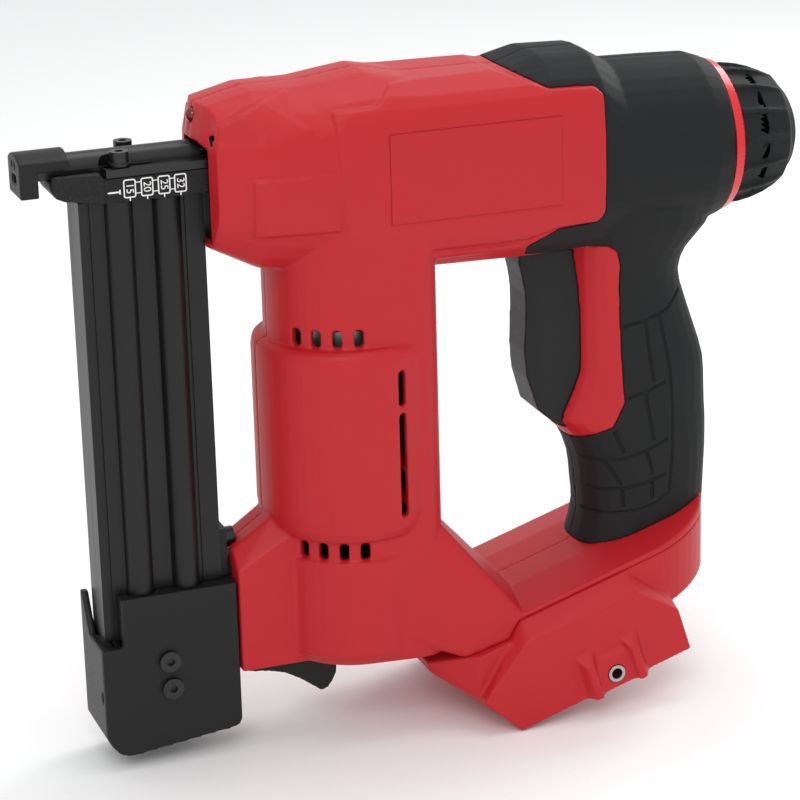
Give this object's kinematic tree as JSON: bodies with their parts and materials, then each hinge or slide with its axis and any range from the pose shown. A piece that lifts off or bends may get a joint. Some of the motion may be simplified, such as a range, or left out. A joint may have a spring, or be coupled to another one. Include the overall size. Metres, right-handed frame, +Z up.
{
  "type": "cordless brad nailer",
  "caption": "Cordless brad nailer with a vertical motor column, sloping battery foot, upright side-loading strip magazine and a sprung striker in its barrel.",
  "frame": {"origin": "under the middle of the tool's overall box, on the surface the battery foot stands on", "axes": "+X from the nose to the rear knob along the barrel's axis, +Y to the tool's right side, +Z up"},
  "size_m": [0.276, 0.0844, 0.2336],
  "materials": {
    "red_plastic": "fine-textured satin red",
    "soft_skin": "matt black, soft to the touch",
    "black_plastic": "matt black",
    "black_anodised": "black anodised, satin",
    "black_casting": "black, finely sparkling casting",
    "black_steel": "black oxide",
    "steel": "plain steel",
    "spring_steel": "bright spring wire",
    "alloy": "cast or turned, plain",
    "brass": "plain",
    "copper_winding": "varnished winding",
    "urethane": "firm elastomer",
    "board_green": "solder mask",
    "label_plate": "plain red panel, left blank",
    "scale_print": "black with light marks",
    "red_lens": "clear red lens",
    "bright_red": "gloss"
  },
  "bodies": {
    "housing": {"housing_left": "red_plastic", "housing_right": "red_plastic", "grip_left": "soft_skin", "grip_right": "soft_skin", "battery_foot": "red_plastic", "terminal_block": "black_plastic", "terminal_contacts": "brass", "hook_inserts": "steel", "housing_screws": "steel", "trim_ring": "bright_red", "label_plates": "label_plate", "led_lenses": "red_lens", "nose_body": "black_casting", "length_scale": "scale_print", "nose_screws": "black_steel", "magazine_channel": "black_anodised", "magazine_bracket": "black_casting", "bracket_screw": "black_steel", "latch_pin": "steel", "trigger_switch": "black_plastic", "end_plate": "alloy", "guide_cylinder": "alloy", "bumper": "urethane", "lifter_bearings": "steel", "drive_bracket": "alloy", "gearbox": "alloy", "motor_can": "steel", "control_board": "board_green", "main_spring": "spring_steel", "contact_spring": "spring_steel", "trigger_spring": "spring_steel", "latch_spring": "spring_steel"},
    "contact": {"contact_bar": "black_steel", "contact_tip": "black_plastic"},
    "drawer": {"magazine_cover": "black_plastic", "cover_screws": "black_steel", "inner_rail": "steel"},
    "pusher": {"pusher": "black_steel", "pusher_spring": "spring_steel"},
    "latch": {"latch_lever": "black_plastic"},
    "trigger": {"trigger": "black_plastic"},
    "knob": {"rear_knob": "soft_skin", "adjuster_screw": "steel"},
    "seat": {"spring_seat": "alloy"},
    "lifter": {"lifter": "steel", "lifter_shaft": "steel"},
    "striker": {"striker": "steel", "driver_blade": "steel"},
    "worm": {"worm": "steel"},
    "motor": {"motor_rotor": "copper_winding", "motor_fan": "black_plastic"}
  },
  "joints": [
    {"name": "trigger_pull", "type": "slide", "parent": "housing", "child": "trigger", "axis": [1, 0, 0], "range_m": [0, 0.006], "stiffness_N_per_m": 900, "springref_m": -0.004, "deforming": ["trigger_spring"]},
    {"name": "contact_push", "type": "slide", "parent": "housing", "child": "contact", "axis": [1, 0, 0], "range_m": [0, 0.003], "stiffness_N_per_m": 800, "springref_m": -0.006, "deforming": ["contact_spring"]},
    {"name": "magazine_slide", "type": "slide", "parent": "housing", "child": "drawer", "axis": [0, 0, -1], "range_m": [0, 0.11]},
    {"name": "pusher_slide", "type": "slide", "parent": "drawer", "child": "pusher", "axis": [0, 0, -1], "range_m": [0, 0.1], "stiffness_N_per_m": 20, "springref_m": -0.3, "deforming": ["pusher_spring"]},
    {"name": "latch_release", "type": "hinge", "parent": "housing", "child": "latch", "pos_m": [-0.06035, 0, 0.034], "axis": [0, 1, 0], "range_deg": [0, 15], "stiffness_Nm_per_rad": 0.4, "springref_deg": -28.65, "deforming": ["latch_spring"]},
    {"name": "knob_turn", "type": "hinge", "parent": "housing", "child": "knob", "pos_m": [0.11065, 0, 0.196], "axis": [1, 0, 0], "range_deg": [0, 270]},
    {"name": "seat_slide", "type": "slide", "parent": "housing", "child": "seat", "axis": [-1, 0, 0], "range_m": [0, 0.00225], "deforming": ["main_spring"]},
    {"name": "lifter_spin", "type": "hinge", "parent": "housing", "child": "lifter", "pos_m": [-0.01285, 0, 0.1725], "axis": [0, 1, 0], "range_deg": [0, 343.7]},
    {"name": "striker_slide", "type": "slide", "parent": "housing", "child": "striker", "axis": [1, 0, 0], "range_m": [0, 0.048]},
    {"name": "worm_spin", "type": "hinge", "parent": "housing", "child": "worm", "pos_m": [-0.02785, 0, 0.166], "axis": [0, 0, 1], "range_deg": [0, 6876]},
    {"name": "motor_spin", "type": "hinge", "parent": "housing", "child": "motor", "pos_m": [-0.02785, 0, 0.106], "axis": [0, 0, 1], "range_deg": [0, 20628]}
  ],
  "couplings": [
    {"joint": "seat_slide", "follows": "knob_turn", "m_per_rad": 0.0004772},
    {"joint": "striker_slide", "follows": "lifter_spin", "m_per_rad": 0.008},
    {"joint": "worm_spin", "follows": "lifter_spin", "ratio": 20},
    {"joint": "motor_spin", "follows": "lifter_spin", "ratio": 60}
  ]
}
